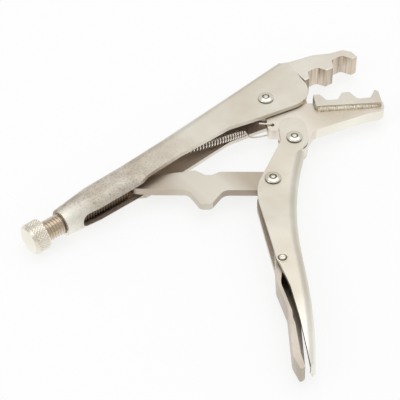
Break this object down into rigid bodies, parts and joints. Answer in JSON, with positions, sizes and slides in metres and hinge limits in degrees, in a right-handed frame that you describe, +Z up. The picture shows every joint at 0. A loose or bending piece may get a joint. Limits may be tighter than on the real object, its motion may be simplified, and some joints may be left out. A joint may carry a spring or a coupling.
{
  "type": "hose crimping tool",
  "caption": "Locking hose crimping pliers with two pairs of hexagonal nests, adjusting screw, toggle link and release lever.",
  "frame": {"origin": "middle of the tool's outline on the surface that it lies on", "axes": "+X along the adjusting screw towards the jaws, +Y towards the upper handle's back, +Z up through the tool's thickness"},
  "size_m": [0.203, 0.1596, 0.0154],
  "materials": {
    "handle_steel": "satin nickel plate",
    "jaw_steel": "satin nickel plate over forged steel",
    "rivet_steel": "bright nickel plate",
    "screw_steel": "bright steel thread",
    "knob_steel": "satin nickel plate, knurled",
    "spring_steel": "bright spring wire",
    "weld_steel": "plated weld bead"
  },
  "bodies": {
    "upper_side": {"upper_handle": "handle_steel", "upper_jaw": "jaw_steel", "jaw_pivot_rivet": "rivet_steel", "tension_spring": "spring_steel"},
    "screw_set": {"adjusting_screw": "screw_steel", "knurled_knob": "knob_steel"},
    "lower_jaw_set": {"lower_jaw": "jaw_steel", "lower_die_block": "jaw_steel", "die_block_welds": "weld_steel", "handle_pivot_rivet": "rivet_steel"},
    "lower_handle_set": {"lower_handle": "handle_steel", "link_pivot_rivet": "rivet_steel", "lever_pin": "rivet_steel"},
    "link_set": {"toggle_link": "jaw_steel"},
    "lever_set": {"release_lever": "handle_steel"}
  },
  "joints": [
    {"name": "jaw_hinge", "type": "hinge", "parent": "upper_side", "child": "lower_jaw_set", "pos_m": [0.04316, 0.06126, 0.0077], "axis": [0, 0, 1], "range_deg": [0, 26.5], "deforming": ["tension_spring"]},
    {"name": "handle_hinge", "type": "hinge", "parent": "lower_jaw_set", "child": "lower_handle_set", "pos_m": [0.03538, 0.03094, 0.0077], "axis": [0, 0, 1], "range_deg": [-61.59, 0]},
    {"name": "link_hinge", "type": "hinge", "parent": "lower_handle_set", "child": "link_set", "pos_m": [0.00858, 0.01596, 0.0077], "axis": [0, 0, 1], "range_deg": [0, 52.63]},
    {"name": "lever_hinge", "type": "hinge", "parent": "lower_handle_set", "child": "lever_set", "pos_m": [-0.02252, -0.02616, 0.0077], "axis": [0, 0, 1], "range_deg": [0, 2]},
    {"name": "screw_slide", "type": "slide", "parent": "upper_side", "child": "screw_set", "axis": [-1, 0, 0], "range_m": [0, 0.01]}
  ],
  "couplings": [
    {"joint": "jaw_hinge", "follows": "handle_hinge", "ratio": -0.43026},
    {"joint": "link_hinge", "follows": "handle_hinge", "ratio": -0.85452}
  ]
}
